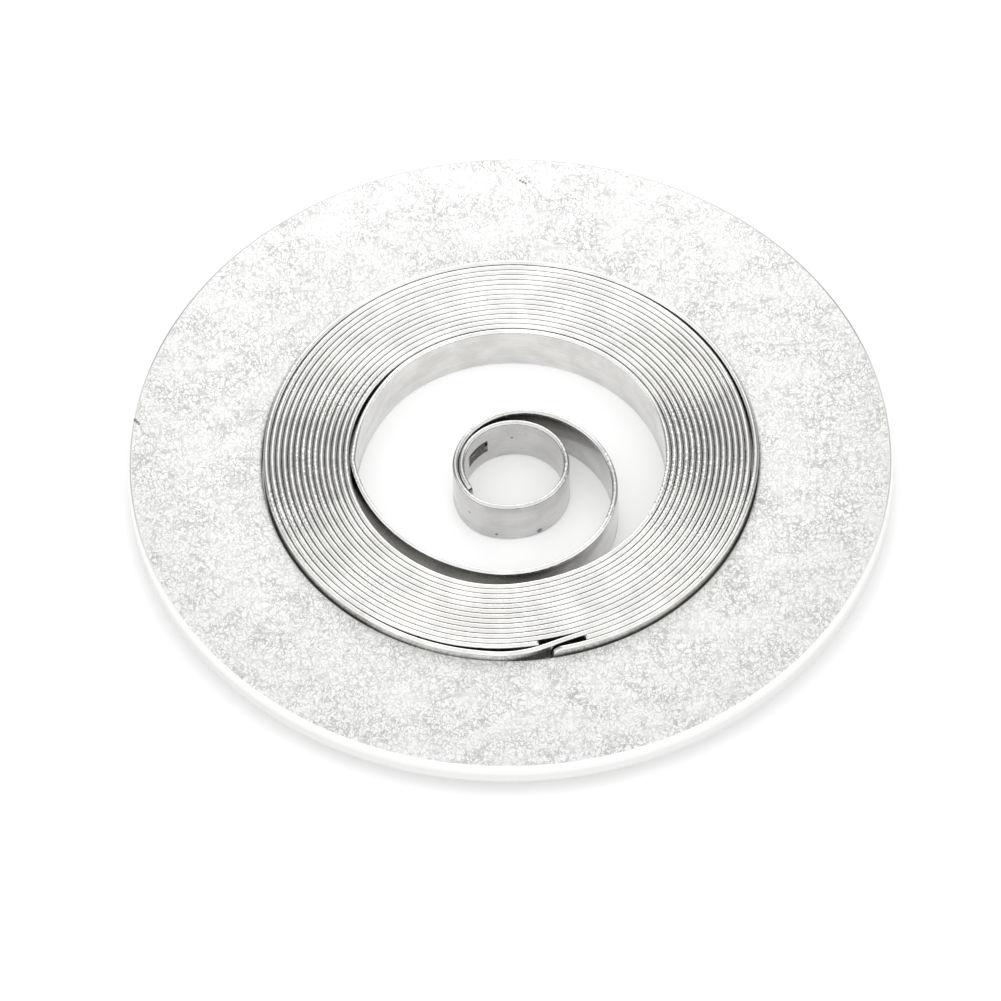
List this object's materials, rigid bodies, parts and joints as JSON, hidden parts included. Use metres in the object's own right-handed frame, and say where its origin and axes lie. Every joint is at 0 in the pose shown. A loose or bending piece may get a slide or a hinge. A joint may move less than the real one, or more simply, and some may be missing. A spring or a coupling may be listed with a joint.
{
  "type": "watch mainspring",
  "caption": "Coiled flat-strip watch mainspring with a slipping bridle at its outer end and a slotted eye at its centre, wound into a flat retaining ring.",
  "frame": {"origin": "on the axis of the coil and ring, in the plane of the strip's lower edge, which the part lies on", "axes": "+Z along the coil's axis, towards the side where it stands proud of the ring; +X to the right and +Y away from a viewer who sees the outer end of the strip at the near side"},
  "size_m": [0.0154, 0.0154, 0.0011],
  "materials": {
    "ring": "satin rolled sheet, punched, with a bright rolled rim",
    "strip": "polished rounded edges, satin faces with fine marks along the strip",
    "bridle": "polished rounded edges, satin faces"
  },
  "bodies": {
    "root": {"retaining_ring": "ring", "mainspring": "strip", "slipping_bridle": "bridle"}
  },
  "joints": []
}
